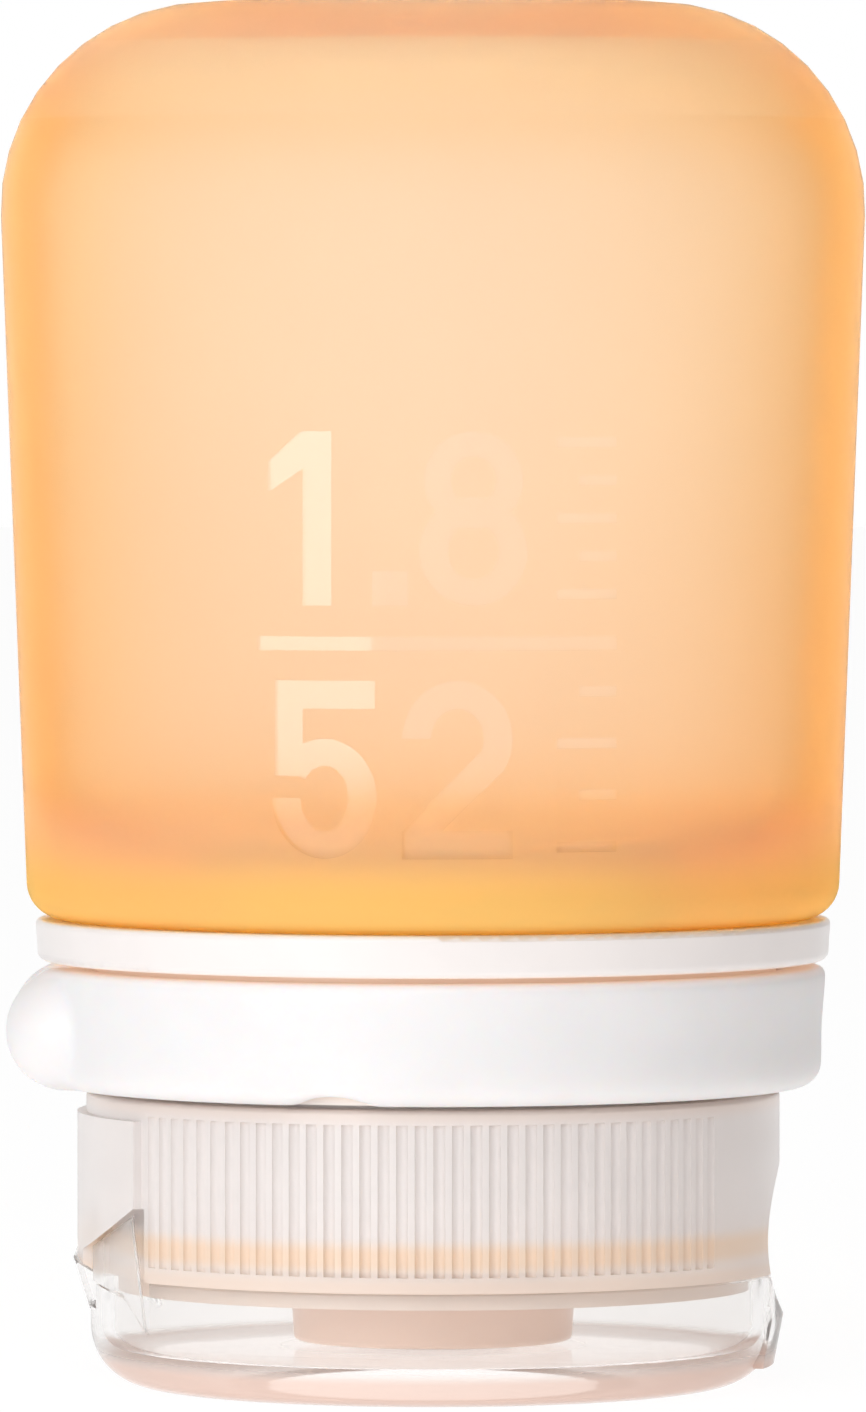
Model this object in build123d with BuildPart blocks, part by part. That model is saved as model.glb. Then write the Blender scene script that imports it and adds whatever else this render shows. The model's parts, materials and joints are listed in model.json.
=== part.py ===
from build123d import *
import math
import os

# A squeezable travel bottle that stands upside down on its closed flip lid.
# +Z runs up the bottle's axis and the origin is the centre of the lid's flat outer face.
# The lid's hinge and the carry loop's hinge are on -X, and the thumb scoop is on +X.
# All lengths are in millimetres and all angles in degrees.

# Stack of heights, from the lid's outer face upwards
lid_height = 6.2
lid_seam = 0.15  # between the lid's rim and the cap's skirt
deck_drop = 1.0  # how far the deck's locating step hangs into the lid
deck_thickness = 2.0
lip_gap = 0.2  # below the soft lip before the cap presses it
lip_thickness = 1.5
skirt_height = 9.85
hub_gap = 0.25  # between the skirt and the collar's hub
hub_height = 6.95
flange_thickness = 2.3
body_height = 50.3

# Soft bottle
shoulder_step = 0.4  # how far the shoulder stands out past the collar's flange
side_draft = 2.15  # the sides widen towards the base
base_corner = 11.3
shoulder_corner = 2.0
dish_radius = 11.0
dish_depth = 1.0
side_wall = 2.75
base_wall = 3.0
shoulder_wall = 4.0
chamber_floor_corner = 4.0
mouth_radius = 12.6
mouth_round = 1.5
lining_wall = 1.9  # the soft neck inside the collar
lip_overhang = 1.8  # the lip folds over the collar's end by this
lip_round = 0.4

# Neck collar
lining_fit = 0.05
neck_wall = 1.85
groove_width = 1.1  # the open groove between the neck and the hub
hub_wall = 1.4
groove_roof_thickness = 1.5
flange_step = 0.23  # how far the flange stands out past the loop
flange_draft = 0.15
flange_low_round = 0.5
flange_top_round = 0.3

# Carry loop and its hinge
loop_height = 6.65
loop_clearance = 0.3  # round the hub
loop_thickness = 2.2
loop_flare = 0.27  # how much wider the loop is along its top
loop_low_round = 1.3
loop_top_round = 0.4
loop_bore_round = 0.3
knuckle_stand = 1.15  # the pin's distance outside the hub
knuckle_half_length = 5.5  # to where the rounded end starts
knuckle_clearance = 0.27
scallop_width = 4.5
scallop_depth = 0.55
scallop_azimuth = 254.7
lug_radius = 2.3
lug_half_width = 2.4
lug_side_gap = 0.3
pin_radius = 0.9
pin_half_length = 6.6
pin_end_gap = 0.3
pin_running_gap = 0.05
pin_chamfer = 0.2

# Screw cap
thread_room = 1.1  # between the neck and the skirt's bore
skirt_wall = 1.6
skirt_top_round = 0.3
step_clearance = 0.2  # between the deck's step and the lid's wall
panel_step = 0.5  # how far the smooth panel over the hinge stands out
panel_half_angle = 34.0
panel_top_drop = 1.1
thumb_half_angle = 38.0  # the smooth panel round the thumb scoop
seam_azimuth = 27.0  # a plain stretch of wall, where the cap's and the lid's revolved faces start
rib_pitch_angle = 3.0
rib_groove_radius = 0.32
rib_top_margin = 0.8
rib_low_margin = 0.85
scoop_depth = 0.73
scoop_rise = 0.95  # the scoop's deepest line, above the skirt's lower edge
scoop_flare = 1.6  # how far its curve has come out again
scoop_flare_rise = 7.25  # at this height above the deepest line
scoop_flare_drop = 4.5  # and this far below it
spout_wall = 1.25
spout_draft = 0.2
spout_round = 0.3
spout_gap = 0.35  # between the spout's tip and the lid's plate
seat_thickness = 1.2
exit_radius = 4.5
seat_width = 2.1

# Valve and its retainer
valve_fit = 0.05
valve_flange_thickness = 1.2
valve_flange_width = 1.5
valve_membrane = 0.7
valve_crown = 0.9
slit_length = 5.0
slit_width = 0.15
retainer_gap = 0.05
retainer_width = 1.6
retainer_recess = 0.2

# Flip lid
lid_step = 0.2  # how far the lid's side stands in from the skirt
lid_draft = 0.1
lid_wall = 1.3
lid_plate = 2.1
lid_corner = 3.3
lid_inner_corner = 1.2
plug_gap = 0.4  # inside the spout's exit
plug_wall = 1.0
plug_height = 1.1
lip_tab_reach = 0.41  # the thumb lip under the scoop
lip_tab_height = 3.85
lip_tab_low = 1.2
lip_tab_half_angle = 16.2

# Butterfly hinge of the lid
hinge_proud = 0.1  # the axis lies this far outside the smooth panel
hinge_rise = 0.8  # and this far above the skirt's lower edge
film_gap = 0.15
strap_half_width = 4.0
strap_tail = 1.8  # from the lid's rim down to where the strap leaves its wall
arm_thickness = 0.75
arm_back_gap = 0.35  # behind an arm in its recess
arm_swing_gap = 0.5  # above an arm's top corner, where its edge turns
arm_heel_reach = 0.25
arm_top_reach = 3.4
arm_top_rise = 2.7
arm_tip_reach = 4.15
arm_tip_drop = 3.5
arm_knee_reach = 3.0
arm_knee_drop = 1.7
arm_ankle_reach = 1.0
arm_ankle_drop = 1.15
arm_window = 0.63  # the open gap beside the arm's free edge
fold_width = 0.6  # the thicker free edge of an arm
fold_height = 0.25

# Heights worked out from the stack
skirt_bottom = lid_height + lid_seam
deck_underside = skirt_bottom - deck_drop
deck_inside = deck_underside + deck_thickness
lip_end = deck_inside + lip_gap
neck_end = lip_end + lip_thickness
skirt_top = skirt_bottom + skirt_height
hub_bottom = skirt_top + hub_gap
flange_bottom = hub_bottom + hub_height
flange_top = flange_bottom + flange_thickness
bottle_top = flange_top + body_height
chamber_floor = flange_top + shoulder_wall
chamber_ceiling = bottle_top - base_wall
groove_roof = flange_bottom - groove_roof_thickness
loop_top = hub_bottom + loop_height
loop_middle = hub_bottom + loop_height / 2
spout_tip = lid_plate + spout_gap
seat_top = spout_tip + seat_thickness
valve_flange_top = seat_top + valve_flange_thickness

# Radii and places worked out outwards from the bottle's mouth
lining_radius = mouth_radius + lining_wall
collar_bore = lining_radius + lining_fit
neck_radius = collar_bore + neck_wall
lip_radius = lining_radius + lip_overhang
groove_radius = neck_radius + groove_width
hub_radius = groove_radius + hub_wall
lug_root = neck_radius - neck_wall / 2
loop_bore = hub_radius + loop_clearance
loop_waist_radius = loop_bore + loop_thickness
loop_rim_radius = loop_waist_radius + loop_flare
flange_radius = loop_rim_radius + flange_step
shoulder_radius = flange_radius + shoulder_step
dish_sphere = (dish_radius**2 + dish_depth**2) / (2 * dish_depth)
knuckle_offset = hub_radius + knuckle_stand
knuckle_radius = loop_height / 2
knuckle_reach = knuckle_half_length + knuckle_radius
slot_half_width = lug_half_width + lug_side_gap
scallop_radius = (scallop_width**2 / 4 + scallop_depth**2) / (2 * scallop_depth)
thread_bore = neck_radius + thread_room
skirt_radius = thread_bore + skirt_wall
panel_radius = skirt_radius + panel_step
scoop_floor_radius = skirt_radius - scoop_depth
scoop_height = skirt_bottom + scoop_rise
lid_radius = skirt_radius - lid_step
lip_tab_radius = lid_radius + lip_tab_reach
lid_bore = lid_radius - lid_wall
step_radius = lid_bore - step_clearance
valve_bore_radius = exit_radius + seat_width
spout_radius = valve_bore_radius + spout_wall
valve_radius = valve_bore_radius - valve_fit
retainer_radius = valve_bore_radius - retainer_gap
plug_radius = exit_radius - plug_gap
rib_arc = 180 - panel_half_angle - thumb_half_angle - rib_pitch_angle
rib_count = round(rib_arc / rib_pitch_angle) + 1
arm_outer_radius = skirt_radius
arm_inner_radius = arm_outer_radius - arm_thickness
arm_recess_radius = arm_inner_radius - arm_back_gap
hinge_x = -(panel_radius + hinge_proud)
hinge_z = skirt_bottom + hinge_rise
strap_root = thread_bore + skirt_wall / 2
overrun = 2 * flange_radius

# Corners of a hinge arm, seen from the front
arm_heel = (hinge_x + arm_heel_reach, hinge_z)
arm_top = (hinge_x + arm_top_reach, hinge_z + arm_top_rise)
arm_tip = (hinge_x + arm_tip_reach, hinge_z - arm_tip_drop)
arm_knee = (hinge_x + arm_knee_reach, hinge_z - arm_knee_drop)
arm_ankle = (hinge_x + arm_ankle_reach, hinge_z - arm_ankle_drop)
recess_right = arm_top[0] + arm_window
fold_start = (
    arm_top[0] - fold_width,
    arm_top[1] - fold_width * arm_top_rise / (arm_top_reach - arm_heel_reach),
)

# Outlines of the butterfly hinge, seen from the front
arm_outline = [arm_heel, arm_top, arm_tip, arm_knee, arm_ankle]
fold_outline = [fold_start, arm_top, arm_tip, arm_knee]
panel_recess_outline = [
    (-overrun, skirt_bottom - film_gap),
    (-overrun, hinge_z + film_gap / 2),
    (hinge_x, hinge_z + film_gap / 2),
    (arm_top[0], arm_top[1] + arm_swing_gap),
    (recess_right, arm_top[1] + arm_swing_gap),
    (recess_right, skirt_bottom - film_gap),
]
lid_notch_outline = [
    (hinge_x, lid_height + film_gap),
    (hinge_x, arm_ankle[1] - film_gap),
    (arm_ankle[0], arm_ankle[1] - film_gap),
    (arm_knee[0] - film_gap, arm_knee[1] - film_gap),
    (arm_tip[0], arm_tip[1] - film_gap),
    (arm_tip[0] + film_gap, arm_tip[1] - film_gap),
    (arm_tip[0] + film_gap, lid_height + film_gap),
]
strap_relief_outline = [
    (-overrun, skirt_bottom - film_gap),
    (-overrun, hinge_z + film_gap / 2),
    (hinge_x, hinge_z + film_gap / 2),
    (-strap_root, skirt_bottom),
    (-strap_root, skirt_bottom - film_gap),
]
strap_outline = [
    (-panel_radius, hinge_z - film_gap),
    (-strap_root, lid_height),
    (-(lid_bore + lid_wall / 2), lid_height),
    (-(lid_bore + lid_wall / 2), lid_height - strap_tail),
    (-lid_radius + lid_draft, lid_height - strap_tail),
]


def side_radius(height):
    """Radius of the soft bottle's drafted side at a height."""
    return shoulder_radius + (height - flange_top) * math.tan(math.radians(side_draft))


def corner(sketch, place):
    """The sketch's corner nearest a place."""
    return sketch.vertices().sort_by_distance(place)[0]


def radial_plane(azimuth):
    """Upright plane through the bottle's axis, its local X pointing out at an azimuth."""
    turn = math.radians(azimuth)
    return Plane(
        origin=(0, 0, 0),
        x_dir=(math.cos(turn), math.sin(turn), 0),
        z_dir=(math.sin(turn), -math.cos(turn), 0),
    )


def prism(outline, start):
    """An outline in XZ, drawn out along -Y from a distance in front of the bottle's axis."""
    with BuildPart() as block:
        with BuildSketch(Plane.XZ.offset(start)):
            with BuildLine():
                Polyline(*outline, close=True)
            make_face()
        extrude(amount=overrun)
    return block.part


def arm_layer(outline, outer_radius):
    """The stretch of a thin upright shell that an outline in XZ covers on the front."""
    with BuildPart() as layer:
        add(prism(outline, strap_half_width + film_gap))
        with BuildSketch(Plane.XY):
            Circle(outer_radius)
            Circle(arm_inner_radius, mode=Mode.SUBTRACT)
        extrude(amount=skirt_top, mode=Mode.INTERSECT)
    return layer.part


os.makedirs("parts", exist_ok=True)

# Soft bottle: one revolved wall from the dished base to the lip that seals against the cap
with BuildPart() as silicone_bottle:
    with BuildSketch(Plane.XZ) as bottle_section:
        with BuildLine():
            Polyline(
                (0, bottle_top),
                (side_radius(bottle_top), bottle_top),
                (shoulder_radius, flange_top),
                (lining_radius, flange_top),
                (lining_radius, neck_end),
                (lip_radius, neck_end),
                (lip_radius, lip_end),
                (mouth_radius, lip_end),
                (mouth_radius, chamber_floor),
                (side_radius(chamber_floor) - side_wall, chamber_floor),
                (side_radius(chamber_ceiling) - side_wall, chamber_ceiling),
                (0, chamber_ceiling),
                close=True,
            )
        make_face()
        fillet(corner(bottle_section, (side_radius(bottle_top), bottle_top)), base_corner)
        fillet(corner(bottle_section, (shoulder_radius, flange_top)), shoulder_corner)
        fillet(
            corner(bottle_section, (side_radius(chamber_ceiling) - side_wall, chamber_ceiling)),
            base_corner - side_wall,
        )
        fillet(
            corner(bottle_section, (side_radius(chamber_floor) - side_wall, chamber_floor)),
            chamber_floor_corner,
        )
        fillet(corner(bottle_section, (mouth_radius, chamber_floor)), mouth_round)
        fillet(corner(bottle_section, (lip_radius, neck_end)), lip_round)
        fillet(corner(bottle_section, (lip_radius, lip_end)), lip_round)
        with Locations((0, bottle_top - dish_depth + dish_sphere)):
            Circle(dish_sphere, mode=Mode.SUBTRACT)
    revolve(axis=Axis.Z)
silicone_bottle.part.label = "silicone_bottle"
export_step(silicone_bottle.part, "parts/silicone_bottle.step")

# Neck collar: flange, cored hub for the loop, plain neck under the threads, and the loop's lug
with BuildPart() as neck_collar:
    with BuildSketch(Plane.XZ) as collar_section:
        with BuildLine():
            Polyline(
                (collar_bore, neck_end),
                (neck_radius, neck_end),
                (neck_radius, groove_roof),
                (groove_radius, groove_roof),
                (groove_radius, hub_bottom),
                (hub_radius, hub_bottom),
                (hub_radius, flange_bottom),
                (flange_radius - flange_draft, flange_bottom),
                (flange_radius, flange_top),
                (collar_bore, flange_top),
                close=True,
            )
        make_face()
        fillet(corner(collar_section, (flange_radius - flange_draft, flange_bottom)), flange_low_round)
        fillet(corner(collar_section, (flange_radius, flange_top)), flange_top_round)
    revolve(axis=Axis.Z)
    with BuildSketch(Plane.XZ):
        with Locations((-knuckle_offset, loop_middle)):
            Circle(knuckle_radius + knuckle_clearance)
    extrude(amount=knuckle_reach + knuckle_clearance, both=True, mode=Mode.SUBTRACT)
    with BuildSketch(Plane.XZ):
        with Locations((-knuckle_offset, loop_middle)):
            Circle(lug_radius)
        with BuildLine():
            Polyline(
                (-knuckle_offset, loop_middle - lug_radius),
                (-lug_root, loop_middle - lug_radius),
                (-lug_root, flange_bottom + flange_thickness / 2),
                (-knuckle_offset, flange_bottom + flange_thickness / 2),
                close=True,
            )
        make_face()
    extrude(amount=lug_half_width, both=True)
    with BuildSketch(Plane.XZ):
        with Locations((-knuckle_offset, loop_middle)):
            Circle(pin_radius)
    extrude(amount=overrun, both=True, mode=Mode.SUBTRACT)
neck_collar.part.label = "neck_collar"
export_step(neck_collar.part, "parts/neck_collar.step")

# Carry loop: a soft white ring with two round-ended hinge knuckles either side of the lug
with BuildPart() as carry_loop:
    with BuildSketch(Plane.XZ) as loop_section:
        with BuildLine():
            Polyline(
                (loop_bore, hub_bottom),
                (loop_waist_radius, hub_bottom),
                (loop_waist_radius, loop_middle),
                (loop_rim_radius, loop_top),
                (loop_bore, loop_top),
                close=True,
            )
        make_face()
        fillet(corner(loop_section, (loop_waist_radius, hub_bottom)), loop_low_round)
        fillet(corner(loop_section, (loop_rim_radius, loop_top)), loop_top_round)
        fillet(corner(loop_section, (loop_bore, hub_bottom)), loop_bore_round)
        fillet(corner(loop_section, (loop_bore, loop_top)), loop_bore_round)
    revolve(axis=Axis.Z)
    with BuildSketch(Plane.XZ):
        with Locations((-knuckle_offset, loop_middle)):
            Circle(knuckle_radius)
    extrude(amount=knuckle_half_length, both=True)
    with Locations(
        (-knuckle_offset, -knuckle_half_length, loop_middle),
        (-knuckle_offset, knuckle_half_length, loop_middle),
    ):
        Sphere(knuckle_radius)
    with Locations((-knuckle_offset, 0, loop_middle)):
        Box(4 * knuckle_radius, 2 * slot_half_width, 2 * loop_height, mode=Mode.SUBTRACT)
    with BuildSketch(Plane.XZ):
        with Locations((-knuckle_offset, loop_middle)):
            Circle(pin_radius + pin_running_gap)
    extrude(amount=pin_half_length + pin_end_gap, both=True, mode=Mode.SUBTRACT)
    with BuildSketch(radial_plane(scallop_azimuth + 90)):
        with Locations((0, hub_bottom + scallop_depth - scallop_radius)):
            Circle(scallop_radius)
    extrude(amount=overrun, mode=Mode.SUBTRACT)
carry_loop.part.label = "carry_loop"
export_step(carry_loop.part, "parts/carry_loop.step")

# Pin of the loop's hinge, pressed through the lug and free in the knuckles
with BuildPart() as loop_pin:
    with BuildSketch(Plane.XZ):
        with Locations((-knuckle_offset, loop_middle)):
            Circle(pin_radius)
    extrude(amount=pin_half_length, both=True)
    chamfer(loop_pin.edges().filter_by(GeomType.CIRCLE), pin_chamfer)
loop_pin.part.label = "loop_pin"
export_step(loop_pin.part, "parts/loop_pin.step")

# Thumb scoop, cut alike into the cap's skirt and the lid's rim
with BuildPart() as thumb_scoop:
    with BuildSketch(Plane.XZ):
        with BuildLine():
            dip = Spline(
                (scoop_floor_radius + scoop_flare, scoop_height + scoop_flare_rise),
                (scoop_floor_radius, scoop_height),
                (scoop_floor_radius + scoop_flare, scoop_height - scoop_flare_drop),
                tangents=(
                    (-2 * scoop_flare / scoop_flare_rise, -1),
                    (2 * scoop_flare / scoop_flare_drop, -1),
                ),
            )
            Polyline(dip @ 0, (overrun, (dip @ 0).Y), (overrun, (dip @ 1).Y), dip @ 1)
        make_face()
    extrude(amount=overrun, both=True)

# Recess in the cap's smooth panel that a hinge arm folds into
with BuildPart() as panel_recess:
    add(prism(panel_recess_outline, strap_half_width))
    with BuildSketch(Plane.XY):
        Circle(arm_recess_radius)
    extrude(amount=skirt_top, mode=Mode.SUBTRACT)

# Screw cap: skirt, deck with its locating step, and spout
with BuildPart() as cap_base:
    with BuildSketch(radial_plane(seam_azimuth)) as cap_section:
        with BuildLine():
            Polyline(
                (valve_bore_radius, deck_inside),
                (thread_bore, deck_inside),
                (thread_bore, skirt_top),
                (skirt_radius, skirt_top),
                (skirt_radius, skirt_bottom),
                (step_radius, skirt_bottom),
                (step_radius, deck_underside),
                (spout_radius, deck_underside),
                (spout_radius - spout_draft, spout_tip),
                (exit_radius, spout_tip),
                (exit_radius, seat_top),
                (valve_bore_radius, seat_top),
                close=True,
            )
        make_face()
        fillet(corner(cap_section, (skirt_radius, skirt_top)), skirt_top_round)
        fillet(corner(cap_section, (spout_radius - spout_draft, spout_tip)), spout_round)
    revolve(axis=Axis.Z)
    with BuildSketch(radial_plane(180 - panel_half_angle)):
        with BuildLine():
            Polyline(
                (strap_root, skirt_bottom),
                (panel_radius, skirt_bottom),
                (panel_radius, skirt_top - panel_top_drop),
                (strap_root, skirt_top - panel_top_drop),
                close=True,
            )
        make_face()
    revolve(axis=Axis.Z, revolution_arc=2 * panel_half_angle)
    add(thumb_scoop.part, mode=Mode.SUBTRACT)
    add(panel_recess.part, mode=Mode.SUBTRACT)
    add(mirror(panel_recess.part, about=Plane.XZ, mode=Mode.PRIVATE), mode=Mode.SUBTRACT)
    with BuildSketch(Plane.XZ):
        with BuildLine():
            Polyline(*strap_relief_outline, close=True)
        make_face()
    extrude(amount=strap_half_width, both=True, mode=Mode.SUBTRACT)
    with BuildSketch(Plane.XY.offset(skirt_bottom + rib_low_margin)):
        for first_rib in (thumb_half_angle, 180 + panel_half_angle + rib_pitch_angle):
            with PolarLocations(skirt_radius, rib_count, first_rib, rib_arc, endpoint=True):
                Circle(rib_groove_radius)
    extrude(amount=skirt_height - rib_low_margin - rib_top_margin, mode=Mode.SUBTRACT)
cap_base.part.label = "cap_base"
export_step(cap_base.part, "parts/cap_base.step")

# Valve: a soft disc whose thin crown has a cross slit
with BuildPart() as slit_valve:
    with BuildSketch(Plane.XZ):
        with BuildLine():
            Polyline(
                (valve_radius - valve_flange_width, seat_top + valve_membrane),
                (valve_radius - valve_flange_width, valve_flange_top),
                (valve_radius, valve_flange_top),
                (valve_radius, seat_top),
                (valve_radius - valve_flange_width, seat_top),
            )
            under = TangentArc(
                (0, seat_top + valve_crown),
                (valve_radius - valve_flange_width, seat_top),
                tangent=(1, 0),
            )
            over = TangentArc(
                (0, seat_top + valve_crown + valve_membrane),
                (valve_radius - valve_flange_width, seat_top + valve_membrane),
                tangent=(1, 0),
            )
            Line(under @ 0, over @ 0)
        make_face()
    revolve(axis=Axis.Z)
    with BuildSketch(Plane.XY.offset(seat_top)):
        Rectangle(slit_length, slit_width)
        Rectangle(slit_width, slit_length)
    extrude(amount=valve_flange_thickness + valve_membrane + valve_crown, mode=Mode.SUBTRACT)
slit_valve.part.label = "slit_valve"
export_step(slit_valve.part, "parts/slit_valve.step")

# Retainer: the ring that holds the valve's flange on its seat
with BuildPart() as valve_retainer:
    with BuildSketch(Plane.XY.offset(valve_flange_top)):
        Circle(retainer_radius)
        Circle(retainer_radius - retainer_width, mode=Mode.SUBTRACT)
    extrude(amount=deck_inside - retainer_recess - valve_flange_top)
valve_retainer.part.label = "valve_retainer"
export_step(valve_retainer.part, "parts/valve_retainer.step")

# Notch in the lid's wall that clears a hinge arm
with BuildPart() as lid_notch:
    add(prism(lid_notch_outline, strap_half_width))

# Flip lid: rounded shell with a ring plug for the spout, a thumb lip, and the hinge strap's tab
with BuildPart() as flip_lid:
    with BuildSketch(radial_plane(seam_azimuth)) as lid_section:
        with BuildLine():
            Polyline(
                (0, 0),
                (lid_radius - lid_draft, 0),
                (lid_radius, lid_height),
                (lid_bore, lid_height),
                (lid_bore, lid_plate),
                (plug_radius, lid_plate),
                (plug_radius, lid_plate + plug_height),
                (plug_radius - plug_wall, lid_plate + plug_height),
                (plug_radius - plug_wall, lid_plate),
                (0, lid_plate),
                close=True,
            )
        make_face()
        fillet(corner(lid_section, (lid_radius - lid_draft, 0)), lid_corner)
        fillet(corner(lid_section, (lid_bore, lid_plate)), lid_inner_corner)
    revolve(axis=Axis.Z)
    with BuildSketch(radial_plane(-lip_tab_half_angle)):
        with BuildLine():
            Polyline(
                (lid_bore + lid_wall / 2, lip_tab_low),
                (lid_radius - lid_draft, lip_tab_low),
                (lip_tab_radius, lip_tab_height),
                (lip_tab_radius, lid_height),
                (lid_bore + lid_wall / 2, lid_height),
                close=True,
            )
        make_face()
    revolve(axis=Axis.Z, revolution_arc=2 * lip_tab_half_angle)
    add(thumb_scoop.part, mode=Mode.SUBTRACT)
    add(lid_notch.part, mode=Mode.SUBTRACT)
    add(mirror(lid_notch.part, about=Plane.XZ, mode=Mode.PRIVATE), mode=Mode.SUBTRACT)
    with BuildSketch(Plane.XZ):
        with BuildLine():
            Polyline(*strap_outline, close=True)
        make_face()
    extrude(amount=strap_half_width - film_gap, both=True)
flip_lid.part.label = "flip_lid"
export_step(flip_lid.part, "parts/flip_lid.step")

# Hinge arms: curved panels with a thicker free edge, one each side of the strap
with BuildPart() as hinge_arm_front:
    add(arm_layer(arm_outline, arm_outer_radius))
    add(arm_layer(fold_outline, arm_outer_radius + fold_height))
hinge_arm_front.part.label = "hinge_arm_front"
export_step(hinge_arm_front.part, "parts/hinge_arm_front.step")

with BuildPart() as hinge_arm_back:
    mirror(hinge_arm_front.part, about=Plane.XZ)
hinge_arm_back.part.label = "hinge_arm_back"
export_step(hinge_arm_back.part, "parts/hinge_arm_back.step")
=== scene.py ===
import bpy
import json
import math
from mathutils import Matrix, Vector

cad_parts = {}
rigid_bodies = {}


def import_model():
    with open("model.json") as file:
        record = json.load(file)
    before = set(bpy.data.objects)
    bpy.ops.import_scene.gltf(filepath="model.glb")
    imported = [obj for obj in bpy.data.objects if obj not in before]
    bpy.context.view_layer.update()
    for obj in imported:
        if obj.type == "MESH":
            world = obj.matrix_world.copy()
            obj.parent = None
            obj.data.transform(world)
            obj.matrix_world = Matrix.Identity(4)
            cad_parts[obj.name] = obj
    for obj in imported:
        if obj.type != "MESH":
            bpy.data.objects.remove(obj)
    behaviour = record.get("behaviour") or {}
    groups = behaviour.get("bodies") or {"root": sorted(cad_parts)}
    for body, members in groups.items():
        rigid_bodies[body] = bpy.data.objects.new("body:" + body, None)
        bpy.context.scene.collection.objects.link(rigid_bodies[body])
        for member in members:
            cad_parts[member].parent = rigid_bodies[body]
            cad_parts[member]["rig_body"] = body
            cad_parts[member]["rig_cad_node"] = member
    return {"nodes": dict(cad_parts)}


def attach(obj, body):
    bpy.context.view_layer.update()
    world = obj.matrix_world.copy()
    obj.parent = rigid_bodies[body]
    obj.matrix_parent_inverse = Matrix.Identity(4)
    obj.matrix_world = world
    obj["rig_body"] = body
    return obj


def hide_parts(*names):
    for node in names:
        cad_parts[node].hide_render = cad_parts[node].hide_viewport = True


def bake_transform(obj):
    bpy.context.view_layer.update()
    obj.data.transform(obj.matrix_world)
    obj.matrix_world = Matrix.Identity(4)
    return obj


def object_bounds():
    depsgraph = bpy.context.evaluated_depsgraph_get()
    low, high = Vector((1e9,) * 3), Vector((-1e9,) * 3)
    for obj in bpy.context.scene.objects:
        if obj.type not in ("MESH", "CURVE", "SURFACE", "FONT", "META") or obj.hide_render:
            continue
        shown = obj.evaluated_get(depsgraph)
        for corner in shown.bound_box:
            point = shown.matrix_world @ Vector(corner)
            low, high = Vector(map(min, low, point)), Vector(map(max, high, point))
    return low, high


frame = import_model()
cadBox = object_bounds()
nodes = frame["nodes"]
mm = 0.001
seam = 0.004  # mm, vertices nearer than this are merged
print("frame loaded:", len(nodes), "CAD nodes")


# small helpers for working by hand in edit mode

def deselectAll():
    if bpy.context.mode != "OBJECT":
        bpy.ops.object.mode_set(mode="OBJECT")
    bpy.ops.object.select_all(action="DESELECT")


def makeActive(piece):
    deselectAll()
    piece.select_set(True)
    bpy.context.view_layer.objects.active = piece


def applyModifier(piece, kind, **settings):
    makeActive(piece)
    modifier = piece.modifiers.new(kind.lower(), kind)
    for name, value in settings.items():
        setattr(modifier, name, value)
    bpy.ops.object.modifier_apply(modifier=modifier.name)


def smoothShade(piece, degrees):
    makeActive(piece)
    bpy.ops.object.shade_smooth_by_angle(angle=math.radians(degrees))


def mergeDoubles(gap):  # in edit mode, on the whole mesh
    bpy.ops.mesh.select_all(action="SELECT")
    bpy.ops.mesh.remove_doubles(threshold=gap * mm)


def closeSeams(piece, gap=seam):
    makeActive(piece)
    bpy.ops.object.mode_set(mode="EDIT")
    mergeDoubles(gap)
    bpy.ops.mesh.normals_make_consistent(inside=False)
    bpy.ops.object.mode_set(mode="OBJECT")


def arc(centreX, centreZ, radiusX, radiusZ, startDegrees, endDegrees, steps):
    points = []
    for step in range(steps + 1):
        angle = math.radians(startDegrees + (endDegrees - startDegrees) * step / steps)
        points.append((centreX + radiusX * math.cos(angle), centreZ + radiusZ * math.sin(angle)))
    return points


def roundedOutline(corners, arcStep=9):  # corners are (radius, height, rounding) in mm
    points = []
    for index, (x, z, rounding) in enumerate(corners):
        if rounding == 0:
            points.append((x, z))
            continue
        here = Vector((x, z))
        toBefore = (Vector(corners[index - 1][:2]) - here).normalized()
        toAfter = (Vector(corners[(index + 1) % len(corners)][:2]) - here).normalized()
        half = toBefore.angle(toAfter) / 2
        centre = here + (toBefore + toAfter).normalized() * (rounding / math.sin(half))
        start = here + toBefore * (rounding / math.tan(half)) - centre
        end = here + toAfter * (rounding / math.tan(half)) - centre
        startAngle = math.degrees(math.atan2(start.y, start.x))
        turn = (math.degrees(math.atan2(end.y, end.x)) - startAngle + 180) % 360 - 180
        steps = max(2, round(abs(turn) / arcStep))
        points += arc(centre.x, centre.y, rounding, rounding, startAngle, startAngle + turn, steps)
    return points


def drawChain(name, points):  # one vertex, extruded from point to point; points are (x, y, z) in mm
    deselectAll()
    bpy.ops.mesh.primitive_plane_add(size=mm, location=(0, 0, 0))
    chain = bpy.context.object
    chain.name = name
    chain.data.name = name
    bpy.ops.object.mode_set(mode="EDIT")
    bpy.ops.mesh.merge(type="CENTER")
    bpy.ops.transform.translate(value=Vector(points[0]) * mm)
    for here, there in zip(points, points[1:]):
        bpy.ops.mesh.extrude_region_move(
            TRANSFORM_OT_translate={"value": (Vector(there) - Vector(here)) * mm}
        )
    bpy.ops.object.mode_set(mode="OBJECT")
    return chain


def spinWall(name, outline, steps):  # outline is (radius, height) in mm, turned round Z
    wall = drawChain(name, [(x, 0, z) for x, z in outline])
    bpy.ops.object.mode_set(mode="EDIT")
    bpy.ops.mesh.select_all(action="SELECT")
    bpy.ops.mesh.spin(steps=steps, angle=math.tau, center=(0, 0, 0), axis=(0, 0, 1))
    bpy.ops.object.mode_set(mode="OBJECT")
    closeSeams(wall)
    return wall


# materials, all on Object coordinates

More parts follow.
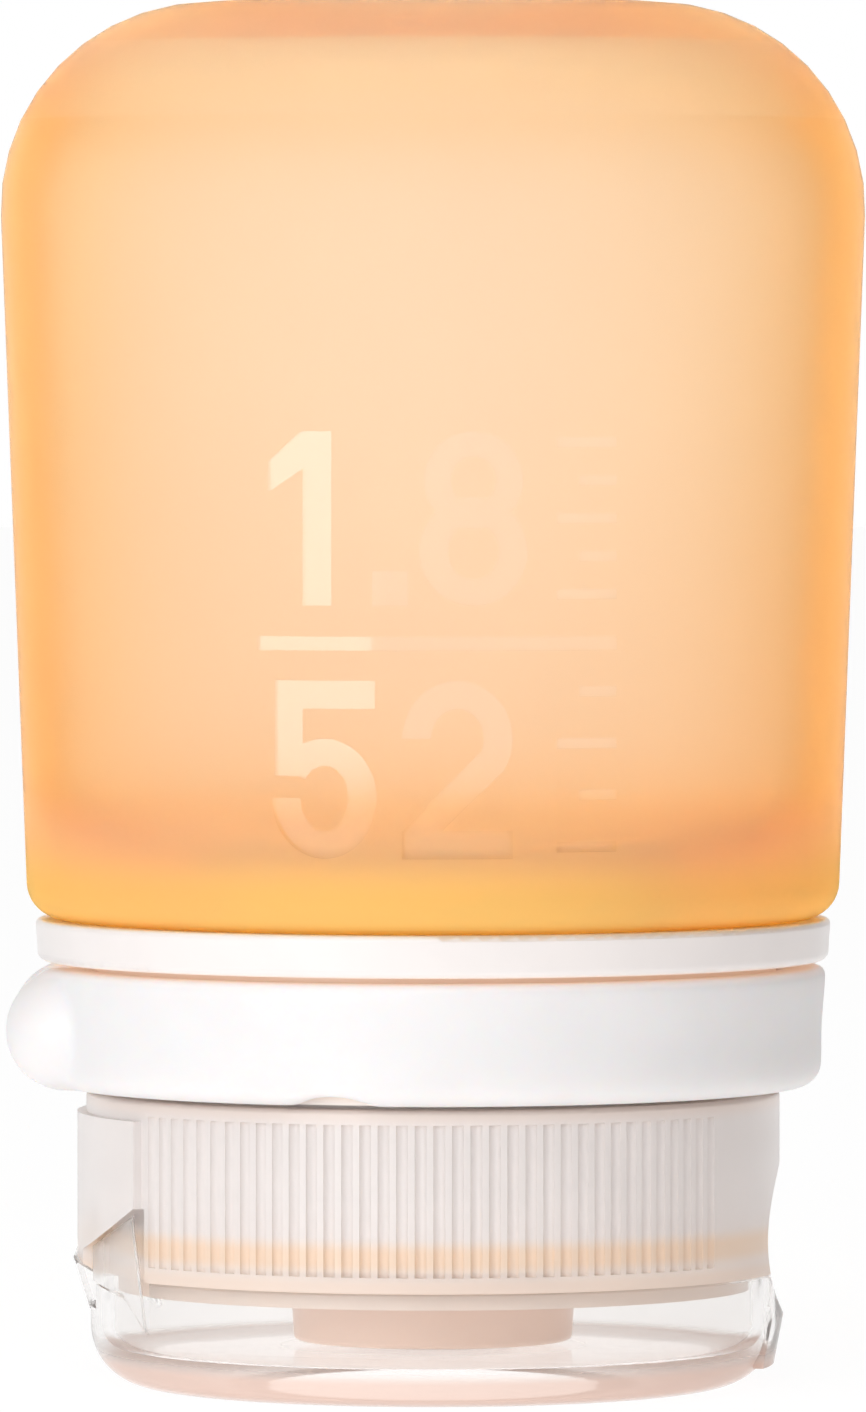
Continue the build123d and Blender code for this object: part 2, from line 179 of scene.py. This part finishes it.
def newMaterial(name, baseColor, roughness, transmission, ior):
    material = bpy.data.materials.new(name)
    material.use_nodes = True
    tree = material.node_tree
    shader = tree.nodes["Principled BSDF"]
    shader.inputs["Base Color"].default_value = (*baseColor, 1)
    shader.inputs["Roughness"].default_value = roughness
    shader.inputs["Transmission Weight"].default_value = transmission
    shader.inputs["IOR"].default_value = ior
    return material, tree, shader


def addNode(tree, kind, **settings):
    node = tree.nodes.new(kind)
    for name, value in settings.items():
        setattr(node, name, value)
    return node


def placeCoordinates(tree):
    return addNode(tree, "ShaderNodeTexCoord").outputs["Object"]


def mixColors(tree, factor, first, second):  # colours or sockets
    mix = addNode(tree, "ShaderNodeMix", data_type="RGBA")
    tree.links.new(factor, mix.inputs[0])
    for socket, value in ((mix.inputs[6], first), (mix.inputs[7], second)):
        if isinstance(value, tuple):
            socket.default_value = (*value, 1)
        else:
            tree.links.new(value, socket)
    return mix.outputs[2]


def noise(tree, scale, detail=3):
    texture = addNode(tree, "ShaderNodeTexNoise")
    texture.inputs["Scale"].default_value = scale
    texture.inputs["Detail"].default_value = detail
    tree.links.new(placeCoordinates(tree), texture.inputs["Vector"])
    return texture.outputs["Fac"]


def mapRange(tree, value, low, high, newLow, newHigh, smooth=True):
    span = addNode(tree, "ShaderNodeMapRange")
    if smooth:
        span.interpolation_type = "SMOOTHSTEP"
    for index, number in ((1, low), (2, high), (3, newLow), (4, newHigh)):
        span.inputs[index].default_value = number
    tree.links.new(value, span.inputs[0])
    return span.outputs[0]


def heightOf(tree):
    split = addNode(tree, "ShaderNodeSeparateXYZ")
    tree.links.new(placeCoordinates(tree), split.inputs[0])
    return split.outputs["Z"]


def radiusOf(tree):
    flat = addNode(tree, "ShaderNodeVectorMath", operation="MULTIPLY")
    tree.links.new(placeCoordinates(tree), flat.inputs[0])
    flat.inputs[1].default_value = (1, 1, 0)
    length = addNode(tree, "ShaderNodeVectorMath", operation="LENGTH")
    tree.links.new(flat.outputs[0], length.inputs[0])
    return length.outputs["Value"]


def combine(tree, operation, first, second):
    result = addNode(tree, "ShaderNodeMath", operation=operation)
    tree.links.new(first, result.inputs[0])
    tree.links.new(second, result.inputs[1])
    return result.outputs[0]


def withinSpan(tree, value, low, high, softness):  # 1 between low and high, in mm
    rise = mapRange(tree, value, (low - softness) * mm, (low + softness) * mm, 0, 1)
    fall = mapRange(tree, value, (high - softness) * mm, (high + softness) * mm, 1, 0)
    return combine(tree, "MULTIPLY", rise, fall)


def mixNumbers(tree, factor, first, second):  # the first may be a socket
    mix = addNode(tree, "ShaderNodeMix", data_type="FLOAT")
    tree.links.new(factor, mix.inputs[0])
    if isinstance(first, float):
        mix.inputs[2].default_value = first
    else:
        tree.links.new(first, mix.inputs[2])
    mix.inputs[3].default_value = second
    return mix.outputs[0]


def addGrain(tree, shader, scale, strength):
    bump = addNode(tree, "ShaderNodeBump")
    bump.inputs["Strength"].default_value = strength
    bump.inputs["Distance"].default_value = grainDepth * mm
    tree.links.new(noise(tree, scale), bump.inputs["Height"])
    tree.links.new(bump.outputs[0], shader.inputs["Normal"])


def addCoat(shader, roughness, ior):
    shader.inputs["Coat Roughness"].default_value = roughness
    shader.inputs["Coat IOR"].default_value = ior


grainDepth = 0.03  # mm

# silicone: one look for the whole bottle, whose colour changes with height

siliconeLook = {
    "upper": (1.0, 0.93, 0.925),
    "lower": (1.0, 0.89, 0.85),
    "thick": (1.0, 0.785, 0.27),
    "crown": (1.0, 0.98, 0.95),
    "lining": (1.0, 0.80, 0.62),
    "frosted": 0.8, "polished": 0.3, "ior": 1.12,
    "clear": 0.94, "clearThick": 0.5, "clearCrown": 0.74, "clearLining": 0.12,
    "coatRoughness": 0.08, "coatIor": 1.5, "grainScale": 2600, "grain": 0.12,
    "cloudScale": 90, "cloudDarkest": 0.98,
    "absorbed": (1.0, 0.71, 0.05), "density": 116,  # per metre
    "liningFade": (22, 24.5),  # mm, the heights between which one colour gives way to the next
    "thickFade": (27.5, 33.7),
    "lowerFade": (32, 58),
    "crownFade": (68, 75.5),
}


def siliconeMaterial(name):
    look = siliconeLook
    material, tree, shader = newMaterial(name, look["upper"], look["frosted"], look["clear"], look["ior"])
    height = heightOf(tree)

    def fade(zone, low, high):  # from low to high, going up through the zone
        start, end = look[zone]
        return mapRange(tree, height, start * mm, end * mm, low, high)

    lower, thick, crown, lining = (
        fade("lowerFade", 1, 0), fade("thickFade", 1, 0), fade("crownFade", 0, 1), fade("liningFade", 1, 0))
    tinted = mixColors(tree, lower, look["upper"], look["lower"])
    clarity = look["clear"]
    for zone, color, clear in (
        (thick, "thick", "clearThick"), (crown, "crown", "clearCrown"), (lining, "lining", "clearLining"),
    ):
        tinted = mixColors(tree, zone, tinted, look[color])
        clarity = mixNumbers(tree, zone, clarity, look[clear])
    tree.links.new(clarity, shader.inputs["Transmission Weight"])
    cloud = mapRange(tree, noise(tree, look["cloudScale"], 2), 0.3, 0.7, look["cloudDarkest"], 1.0)
    shaded = addNode(tree, "ShaderNodeVectorMath", operation="SCALE")
    tree.links.new(tinted, shaded.inputs[0])
    tree.links.new(cloud, shaded.inputs["Scale"])
    tree.links.new(shaded.outputs[0], shader.inputs["Base Color"])
    polish = addNode(tree, "ShaderNodeAttribute", attribute_name="polish")
    gloss = mapRange(tree, polish.outputs["Fac"], 0, 1, look["frosted"], look["polished"])
    tree.links.new(gloss, shader.inputs["Roughness"])
    tree.links.new(mapRange(tree, polish.outputs["Fac"], 0.6, 1, 0, 1), shader.inputs["Coat Weight"])
    addCoat(shader, look["coatRoughness"], look["coatIor"])
    addGrain(tree, shader, look["grainScale"], look["grain"])
    absorb = addNode(tree, "ShaderNodeVolumeAbsorption")
    absorb.inputs["Color"].default_value = (*look["absorbed"], 1)
    absorb.inputs["Density"].default_value = look["density"]
    tree.links.new(absorb.outputs[0], tree.nodes["Material Output"].inputs["Volume"])
    return material


silicone = siliconeMaterial("frosted_silicone")


# plastics: a base look each, with painted glow where light through inner parts would show

plasticLooks = {  # base colour, roughness, transmission, ior, grain
    # the cap's pinkish base colour is partly painted glow of orange light from the silicone inside
    "frosted_cap": ((1.0, 0.955, 0.938), 0.35, 0.42, 1.06, 0.08),
    "frosted_lid": ((1.0, 0.992, 0.986), 0.07, 0.92, 1.04, 0.06),
    "frosted_hinge": ((1.0, 0.99, 0.985), 0.07, 0.90, 1.08, 0.06),
    # the collar's pink cast is partly painted warm light from the orange silicone behind it
    "frosted_collar": ((0.87, 0.825, 0.81), 0.36, 0.03, 1.3, 0.10),
    "milky_loop": ((0.82, 0.812, 0.82), 0.42, 0.0, 1.49, 0.08),
    "milky_pin": ((0.82, 0.812, 0.815), 0.38, 0.0, 1.49, 0.08),
    "valve_silicone": ((1.0, 0.80, 0.64), 0.35, 0.05, 1.41, 0.08),
    "retainer_plastic": ((1.0, 0.92, 0.86), 0.35, 0.05, 1.49, 0.08),
}
paintedGlowZones = {  # painted glow where light through inner parts would show in the plastic: colour, transmission, outer radius and height span in mm
    "frosted_cap": [
        ((1.0, 0.85, 0.745), 0.30, 30, (5.0, 7.2)),  # deck: painted glow of orange light
        ((1.0, 0.81, 0.65), 0.34, 19.4, (7.5, 8.9)),  # painted glow of the bottle's orange lip, seen through the skirt
        ((1.0, 0.89, 0.83), 0.42, 30, (15.5, 16.6)),  # rim: painted salmon glow under the loop's gap
        ((1.0, 0.74, 0.59), 0.12, 8.6, (0, 7.6)),  # spout: painted orange glow
    ],
    "frosted_lid": [
        ((0.81, 0.635, 0.56), 0.26, 30, (0, 1.8)),  # lid's floor: painted peach light passing down, and painted shade
        ((1.0, 0.85, 0.76), 0.50, 8.6, (2.4, 4.0)),  # seal ring: painted glow
    ],
    "frosted_collar": [((1.0, 0.86, 0.75), 0.03, 21.4, (16.6, 23.42))],  # hub: painted glow in the shaded gap under the flange
    "milky_loop": [((1.0, 0.87, 0.77), 0.0, 21.2, (22.85, 23.6))],  # inner edge: painted salmon glow at the gap
}
# painted glow: an emission colour and strengths that stand in for light seeping out of the gap
paintedSeepColor = (1.0, 0.66, 0.48)
paintedSeepGlows = {  # painted glow where light would seep out between flange and loop: strength, height span in mm
    "frosted_collar": (0.2, (22.7, 23.45)),
    "milky_loop": (0.07, (22.75, 23.45)),
}
scatters = {"milky_loop": (0.5, 1.2)}  # weight, reach in mm
scatterColor = (1.0, 0.6, 0.42)
coats = {"frosted_cap": 0.8, "frosted_lid": 0.4, "frosted_hinge": 1.0, "frosted_collar": 0.6}
plasticFinish = {
    "coatRoughness": 0.28, "coatIor": 1.48, "grainScale": 2200, "cloudScale": 260, "cloudDarkest": 0.985,
    "radiusSoftness": 0.35, "heightSoftness": 0.5, "paintedSeepSoftness": 0.25,  # mm
}

plastics = {}
for name, (baseColor, roughness, transmission, ior, grain) in plasticLooks.items():
    material, tree, shader = newMaterial(name, baseColor, roughness, transmission, ior)
    cloud = mapRange(tree, noise(tree, plasticFinish["cloudScale"], 2), 0.35, 0.65, 0, 1)
    darker = tuple(plasticFinish["cloudDarkest"] * channel for channel in baseColor)
    color = mixColors(tree, cloud, baseColor, darker)
    clarity = transmission
    # painted glow: each zone's colour, placed by radius and height, stands in for light coming through the
    # inner parts
    for paintedGlowColor, glowZoneClarity, radius, heights in paintedGlowZones.get(name, ()):
        across = withinSpan(tree, radiusOf(tree), -1, radius, plasticFinish["radiusSoftness"])
        up = withinSpan(tree, heightOf(tree), *heights, plasticFinish["heightSoftness"])
        zone = combine(tree, "MULTIPLY", across, up)
        color = mixColors(tree, zone, color, paintedGlowColor)
        clarity = mixNumbers(tree, zone, clarity, glowZoneClarity)
    tree.links.new(color, shader.inputs["Base Color"])
    if name in paintedGlowZones:
        tree.links.new(clarity, shader.inputs["Transmission Weight"])
    addGrain(tree, shader, plasticFinish["grainScale"], grain)
    # painted glow: emission in the band between flange and loop
    if name in paintedSeepGlows:
        strength, heights = paintedSeepGlows[name]
        band = withinSpan(tree, heightOf(tree), *heights, plasticFinish["paintedSeepSoftness"])
        shader.inputs["Emission Color"].default_value = (*paintedSeepColor, 1)
        tree.links.new(mapRange(tree, band, 0, 1, 0, strength), shader.inputs["Emission Strength"])
    if name in coats:
        shader.inputs["Coat Weight"].default_value = coats[name]
        addCoat(shader, plasticFinish["coatRoughness"], plasticFinish["coatIor"])
    if name in scatters:
        weight, reach = scatters[name]
        shader.inputs["Subsurface Weight"].default_value = weight
        shader.inputs["Subsurface Radius"].default_value = scatterColor
        shader.inputs["Subsurface Scale"].default_value = reach * mm
    plastics[name] = material
print("materials made")


def wear(piece, *materials):
    piece.data.materials.clear()
    for material in materials:
        piece.data.materials.append(material)


# soft bottle: one spun wall with carved figures

bottle = {  # mm
    "top": round(cadBox[1][2] / mm, 3), "dishRadius": 11.0, "dishDepth": 1.0,
    "shoulderRadius": 22.3, "draft": 2.15, "baseCorner": 11.3, "shoulderCorner": 2.0,
    "flangeTop": 25.7, "liningRadius": 14.5, "neckEnd": 9.05, "lipRadius": 16.3, "lipEnd": 7.55,
    "mouthRadius": 12.6, "floor": 29.7, "ceiling": 73.0, "wall": 2.75,
    "steps": 192, "shadeAngle": 32,  # round the spin, and degrees
}


def sideRadius(height):
    slope = math.tan(math.radians(bottle["draft"]))
    return bottle["shoulderRadius"] + (height - bottle["flangeTop"]) * slope


def dishHeight(radius):
    return bottle["top"] - bottle["dishDepth"] * (1 - (radius / bottle["dishRadius"]) ** 2)


innerCorner = bottle["baseCorner"] - bottle["wall"]
bottleOutline = roundedOutline([
    (0, dishHeight(0), 0),
    (bottle["dishRadius"] / 3, dishHeight(bottle["dishRadius"] / 3), 0),
    (bottle["dishRadius"] * 2 / 3, dishHeight(bottle["dishRadius"] * 2 / 3), 0),
    (bottle["dishRadius"], bottle["top"], 6),
    (sideRadius(bottle["top"]), bottle["top"], bottle["baseCorner"]),
    (bottle["shoulderRadius"], bottle["flangeTop"], bottle["shoulderCorner"]),
    (bottle["liningRadius"], bottle["flangeTop"], 0.4),
    (bottle["liningRadius"], bottle["neckEnd"], 0),
    (bottle["lipRadius"], bottle["neckEnd"], 0.4),
    (bottle["lipRadius"], bottle["lipEnd"], 0.4),
    (bottle["mouthRadius"], bottle["lipEnd"], 0.3),
    (bottle["mouthRadius"], bottle["floor"], 1.5),
    (sideRadius(bottle["floor"]) - bottle["wall"], bottle["floor"], 4),
    (sideRadius(bottle["ceiling"]) - bottle["wall"], bottle["ceiling"], innerCorner),
    (0, bottle["ceiling"], 0),
])
softBottle = spinWall("soft_bottle", bottleOutline, bottle["steps"])

figures = {  # mm, on the front of the bottle
    "depth": 0.22, "front": 26.0, "back": 10.0, "frontStep": 0.05, "reachStep": 0.03, "seam": 0.001,
    "coreLow": 20, "coreHigh": 60,
    "upperRow": (43.35, 52.65), "lowerRow": (29.85, 39.35),
    "bar": (-9.4, 9.83, 40.95, 41.7), "dot": (-3.24, -1.33, 43.35, 45.2),
    "tickEnd": 9.8, "longTick": 3.2, "shortTick": 2.0, "tickWidth": 0.55, "tickInset": 0.6,
}


def box(left, right, low, high):
    return [(left, low), (right, low), (right, high), (left, high)]


def ringSector(centre, outer, inner, startDegrees, endDegrees):  # each radius is (across, up)
    steps = max(8, round(abs(endDegrees - startDegrees) / 8))
    outside = arc(*centre, *outer, startDegrees, endDegrees, steps)
    inside = arc(*centre, *inner, endDegrees, startDegrees, steps)
    return outside + inside


upLow, upHigh = figures["upperRow"]
downLow, downHigh = figures["lowerRow"]
figureShapes = [
    # one
    [(-5.42, upLow), (-5.42, upHigh), (-7.07, upHigh), (-8.82, upHigh - 1.6), (-8.82, upHigh - 3.3),
     (-6.96, upHigh - 2.0), (-6.96, upLow)],
    box(*figures["dot"]),
    # eight, each of its rings in two halves
    ringSector((2.15, upHigh - 2.6), (2.65, 2.6), (1.2, 1.25), -92, 92),
    ringSector((2.15, upHigh - 2.6), (2.65, 2.6), (1.2, 1.25), 88, 272),
    ringSector((2.15, upLow + 2.9), (2.9, 2.9), (1.35, 1.5), -92, 92),
    ringSector((2.15, upLow + 2.9), (2.9, 2.9), (1.35, 1.5), 88, 272),
    box(*figures["bar"]),
    # five
    box(-8.45, -3.1, downHigh - 1.5, downHigh),
    box(-8.45, -6.95, downHigh - 5.1, downHigh - 0.7),
    ringSector((-5.8, downLow + 3.2), (2.8, 3.2), (1.25, 1.75), 146, -180),
    # two
    ringSector((1.3, downHigh - 3.1), (2.95, 3.1), (1.4, 1.6), 180, -34),
    [(3.8, downHigh - 4.75), (2.42, downHigh - 3.9), (-1.65, downLow + 1.45), (-1.65, downLow + 0.1),
     (-0.95, downLow + 0.1)],
    box(-1.65, 4.25, downLow, downLow + 1.5),
]
for (low, high), count in ((figures["upperRow"], 5), (figures["lowerRow"], 4)):  # plain graduation ticks
    for index in range(count):
        inset = figures["tickInset"]
        height = low + inset + (high - low - 2 * inset) * index / (count - 1)
        length = figures["shortTick"] if index % 2 else figures["longTick"]
        halfWidth = figures["tickWidth"] / 2
        figureShapes.append(box(
            figures["tickEnd"] - length, figures["tickEnd"], height - halfWidth, height + halfWidth))


def figureBlock(index, outline):  # a flat outline, filled and drawn through the front wall
    front = -(figures["front"] + figures["frontStep"] * index)  # no two blocks share a front face
    block = drawChain("figure_%d" % index, [(x, front, z) for x, z in outline + outline[:1]])
    bpy.ops.object.mode_set(mode="EDIT")
    mergeDoubles(seam)
    bpy.ops.mesh.edge_face_add()
    reach = figures["front"] - figures["back"] + figures["reachStep"] * index
    bpy.ops.mesh.extrude_region_move(TRANSFORM_OT_translate={"value": (0, reach * mm, 0)})
    bpy.ops.object.mode_set(mode="OBJECT")
    closeSeams(block, figures["seam"])
    return block


blocks = [figureBlock(index, outline) for index, outline in enumerate(figureShapes)]
coreLow, coreHigh, depth = figures["coreLow"], figures["coreHigh"], figures["depth"]
figureCore = spinWall("figure_core", [
    (0, coreLow), (sideRadius(coreLow) - depth, coreLow),
    (sideRadius(coreHigh) - depth, coreHigh), (0, coreHigh),
], bottle["steps"])
makeActive(blocks[0])
for block in blocks:
    block.select_set(True)
bpy.ops.object.join()
cutter = bpy.context.object
applyModifier(cutter, "BOOLEAN", operation="DIFFERENCE", object=figureCore, solver="EXACT", use_self=True)
bpy.data.objects.remove(figureCore)
marker = bpy.data.materials.new("carved_marker")
wear(cutter, marker)
wear(softBottle, silicone, marker)
applyModifier(
    softBottle, "BOOLEAN", operation="DIFFERENCE", object=cutter, solver="EXACT", material_mode="TRANSFER")
bpy.data.objects.remove(cutter)
polish = softBottle.data.attributes.new("polish", "FLOAT", "FACE")  # 1 on the carved faces, half inside
insidePolish = 0.5
carved = 0
for face in softBottle.data.polygons:
    middle = face.center / mm
    withinWall = math.hypot(middle.x, middle.y) < sideRadius(middle.z) - bottle["wall"] / 2
    inside = withinWall and middle.z < bottle["ceiling"] + bottle["wall"] / 5
    polish.data[face.index].value = max(face.material_index, insidePolish * inside)
    carved += face.material_index
    face.material_index = 0
wear(softBottle, silicone)
bpy.data.materials.remove(marker)
print("carved and polished faces:", carved)
print("figures carved:", len(figureShapes), "shapes")
smoothShade(softBottle, bottle["shadeAngle"])
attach(softBottle, "bottle")
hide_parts("silicone_bottle")
print("soft bottle carved:", len(softBottle.data.polygons), "faces")


# carry loop: a copy of the ring, remeshed so that its knuckles flow into it

loopShape = {"seam": 0.01, "voxel": 0.28, "smoothing": 0.5, "smoothRounds": 10, "shadeAngle": 60}  # mm
makeActive(nodes["carry_loop"])
bpy.ops.object.duplicate()
softLoop = bpy.context.object
softLoop.name = "soft_loop"
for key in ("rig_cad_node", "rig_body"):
    if key in softLoop:
        del softLoop[key]
softLoop.parent = None
closeSeams(softLoop, loopShape["seam"])
applyModifier(softLoop, "REMESH", mode="VOXEL", voxel_size=loopShape["voxel"] * mm, use_smooth_shade=True)
applyModifier(softLoop, "SMOOTH", factor=loopShape["smoothing"], iterations=loopShape["smoothRounds"])
wear(softLoop, plastics["milky_loop"])
smoothShade(softLoop, loopShape["shadeAngle"])
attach(softLoop, "loop")
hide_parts("carry_loop")
print("carry loop made:", len(softLoop.data.polygons), "faces")


# screw threads, on the collar's neck and inside the cap

threads = {  # mm, and degrees for each start
    "lead": 4.2, "turns": 1.3, "stepsPerTurn": 72, "fade": 0.09,  # the fade in turns
    "neckRoot": 16.35, "neckCrest": 17.0, "neckLow": 10.15, "neckStart": 200,
    "capRoot": 17.55, "capCrest": 16.9, "capLow": 9.75, "capStart": 20,
    "rootWidth": 1.5, "crestWidth": 0.55, "shadeAngle": 40,
}


def screwThread(name, side):
    look = threads
    root, crest, low = look[side + "Root"], look[side + "Crest"], look[side + "Low"]
    profile = [
        (root, -look["rootWidth"] / 2), (crest, -look["crestWidth"] / 2),
        (crest, look["crestWidth"] / 2), (root, look["rootWidth"] / 2)]
    start = math.radians(look[side + "Start"])
    thread = drawChain(name, [
        (x * math.cos(start), x * math.sin(start), low + z) for x, z in profile + profile[:1]])
    bpy.ops.object.mode_set(mode="EDIT")
    mergeDoubles(seam)
    bpy.ops.object.mode_set(mode="OBJECT")
    steps = round(look["stepsPerTurn"] * look["turns"])
    applyModifier(
        thread, "SCREW", axis="Z", angle=math.tau * look["turns"],
        screw_offset=look["lead"] * look["turns"] * mm,
        steps=steps, render_steps=steps, use_normal_calculate=True)
    bpy.ops.object.mode_set(mode="EDIT")
    bpy.ops.mesh.select_all(action="DESELECT")
    bpy.ops.mesh.select_non_manifold(extend=False, use_boundary=True, use_wire=False)
    bpy.ops.mesh.edge_face_add()
    bpy.ops.object.mode_set(mode="OBJECT")
    for vertex in thread.data.vertices:  # both ends run out into the wall
        turn = (math.atan2(vertex.co.y, vertex.co.x) - start) / math.tau
        turn += round((vertex.co.z / mm - low) / look["lead"] - turn)
        turn = min(max(turn, 0), look["turns"])
        strength = min(1, turn / look["fade"], (look["turns"] - turn) / look["fade"])
        radius = math.hypot(vertex.co.x, vertex.co.y) / mm
        newRadius = root + (radius - root) * strength
        vertex.co.x *= newRadius / radius
        vertex.co.y *= newRadius / radius
    closeSeams(thread)
    smoothShade(thread, look["shadeAngle"])
    return thread


neckThread = screwThread("neck_thread", "neck")
wear(neckThread, plastics["frosted_collar"])
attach(neckThread, "bottle")
capThread = screwThread("cap_thread", "cap")
wear(capThread, plastics["frosted_cap"])
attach(capThread, "cap")
print("threads cut")


# hinge film between the cap and the lid's strap

film = {  # mm, its section from the cap down to the lid, (x, z)
    "section": [
        (-19.69, 7.33), (-19.70, 7.20), (-19.67, 7.14), (-19.65, 7.08), (-19.60, 6.98), (-19.59, 6.88),
        (-19.48, 6.88), (-19.49, 7.00), (-19.53, 7.08), (-19.55, 7.14), (-19.55, 7.22), (-19.52, 7.33)],
    "halfWidth": 3.8, "capEnd": 7.24, "lidEnd": 6.97, "middle": -19.6, "shadeAngle": 40,
}
outline = [(x, -film["halfWidth"], z) for x, z in film["section"]]
hingeFilm = drawChain("hinge_film", outline + outline[:1])
bpy.ops.object.mode_set(mode="EDIT")
mergeDoubles(seam)
bpy.ops.mesh.edge_face_add()
bpy.ops.mesh.extrude_region_move(TRANSFORM_OT_translate={"value": (0, 2 * film["halfWidth"] * mm, 0)})
bpy.ops.object.mode_set(mode="OBJECT")
closeSeams(hingeFilm)
smoothShade(hingeFilm, film["shadeAngle"])
wear(hingeFilm, plastics["frosted_hinge"])
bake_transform(hingeFilm)
print("hinge film made")


# carried-over CAD nodes

for node, look in (
    ("cap_base", "frosted_cap"), ("flip_lid", "frosted_lid"),
    ("hinge_arm_front", "frosted_hinge"), ("hinge_arm_back", "frosted_hinge"),
    ("neck_collar", "frosted_collar"), ("loop_pin", "milky_pin"),
    ("slit_valve", "valve_silicone"), ("valve_retainer", "retainer_plastic"),
):
    wear(nodes[node], plastics[look])
print("CAD nodes dressed")


# stage: pale floor, white surroundings, soft studio lamps

stage = {
    "floorSize": 6,
    "floorColor": (0.9, 0.9, 0.9), "underGlow": 0.50,  # the floor as it lights the object from below
    "seenColor": (0.12, 0.12, 0.12), "seenGlow": 0.93,  # the floor as the camera sees it
    "fill": 0.40, "rightSide": (0.54, 0.475, 0.445),  # the room as it lights the object
    "surround": 1.0,  # the room as the camera sees it
}


def seenDirectly(tree, path):  # 1 for camera, transmission and glossy rays
    direct = combine(tree, "MAXIMUM", path.outputs["Is Camera Ray"], path.outputs["Is Transmission Ray"])
    return combine(tree, "MAXIMUM", direct, path.outputs["Is Glossy Ray"])


def glowingFloor(tree, color, strength):
    diffuse = addNode(tree, "ShaderNodeBsdfDiffuse")
    diffuse.inputs["Color"].default_value = (*color, 1)
    emission = addNode(tree, "ShaderNodeEmission")
    emission.inputs["Strength"].default_value = strength
    both = addNode(tree, "ShaderNodeAddShader")
    tree.links.new(diffuse.outputs[0], both.inputs[0])
    tree.links.new(emission.outputs[0], both.inputs[1])
    return both.outputs[0]


deselectAll()
bpy.ops.mesh.primitive_plane_add(size=stage["floorSize"], location=(0, 0, 0))
floor = bpy.context.object
floor.name = "floor"
floorMaterial = bpy.data.materials.new("pale_floor")
floorMaterial.use_nodes = True
floorTree = floorMaterial.node_tree
floorTree.nodes.clear()
choose = addNode(floorTree, "ShaderNodeMixShader")
floorPath = addNode(floorTree, "ShaderNodeLightPath")
floorTree.links.new(seenDirectly(floorTree, floorPath), choose.inputs[0])
floorTree.links.new(glowingFloor(floorTree, stage["floorColor"], stage["underGlow"]), choose.inputs[1])
floorTree.links.new(glowingFloor(floorTree, stage["seenColor"], stage["seenGlow"]), choose.inputs[2])
floorOut = addNode(floorTree, "ShaderNodeOutputMaterial")
floorTree.links.new(choose.outputs[0], floorOut.inputs["Surface"])
wear(floor, floorMaterial)

world = bpy.data.worlds.new("studio")
bpy.context.scene.world = world
world.use_nodes = True
worldTree = world.node_tree
background = worldTree.nodes["Background"]
worldPath = addNode(worldTree, "ShaderNodeLightPath")
seen = seenDirectly(worldTree, worldPath)
level = mapRange(worldTree, seen, 0, 1, stage["fill"], stage["surround"], smooth=False)
worldTree.links.new(level, background.inputs["Strength"])
direction = addNode(worldTree, "ShaderNodeSeparateXYZ")
worldTree.links.new(addNode(worldTree, "ShaderNodeTexCoord").outputs["Generated"], direction.inputs[0])
rightward = mapRange(worldTree, direction.outputs["X"], 0.0, 0.9, 0, 1)
room = mixColors(worldTree, rightward, (1.0, 1.0, 1.0), stage["rightSide"])
room = mixColors(worldTree, worldPath.outputs["Is Camera Ray"], room, (1.0, 1.0, 1.0))
worldTree.links.new(room, background.inputs["Color"])


def addLamp(name, place, aim, size, watts):
    deselectAll()
    bpy.ops.object.light_add(type="AREA", location=place)
    lamp = bpy.context.object
    lamp.name = name
    lamp.data.shape = "RECTANGLE"
    lamp.data.size, lamp.data.size_y = size
    lamp.data.energy = watts
    lamp.rotation_euler = (aim - place).to_track_quat("-Z", "Y").to_euler()
    return lamp


def lampPlace(azimuth, elevation, distance):  # azimuth in degrees left of the camera
    turn, lift = math.radians(azimuth), math.radians(elevation)
    offset = Vector((-math.sin(turn) * math.cos(lift), -math.cos(turn) * math.cos(lift), math.sin(lift)))
    return lampAim + offset * distance


lampAim = Vector((0, 0, 0.04))
lamps = [  # name, azimuth and elevation in degrees, distance and size in metres, brightness
    ("strip_left", 32, 4, 0.80, (0.46, 0.50), 1.15),
    ("low_strip", 33, 1, 0.30, (0.18, 0.085), 3.2),
    ("front_fill", 2, 22, 0.80, (0.34, 0.30), 3.3),
    ("soft_top", 20, 68, 0.80, (0.50, 0.50), 1.6),
]
for name, azimuth, elevation, distance, size, brightness in lamps:
    watts = brightness * math.pi * size[0] * size[1]
    lamp = addLamp(name, lampPlace(azimuth, elevation, distance), lampAim, size, watts)
    lamp.visible_camera = False
print("stage lit")


# camera: level with the figures, looking slightly down

camera = {"place": (0, -0.688, 0.058), "tilt": 1.72, "lens": 318.7, "sensor": 36, "nearest": 0.01}
deselectAll()
bpy.ops.object.camera_add(location=camera["place"], rotation=(math.radians(90 - camera["tilt"]), 0, 0))
eye = bpy.context.object
eye.name = "front_camera"
eye.data.sensor_fit = "VERTICAL"
eye.data.sensor_height = camera["sensor"]
eye.data.lens = camera["lens"]
eye.data.clip_start = camera["nearest"]
bpy.context.scene.camera = eye
bpy.context.scene.view_settings.view_transform = "Standard"

print("scene ready")
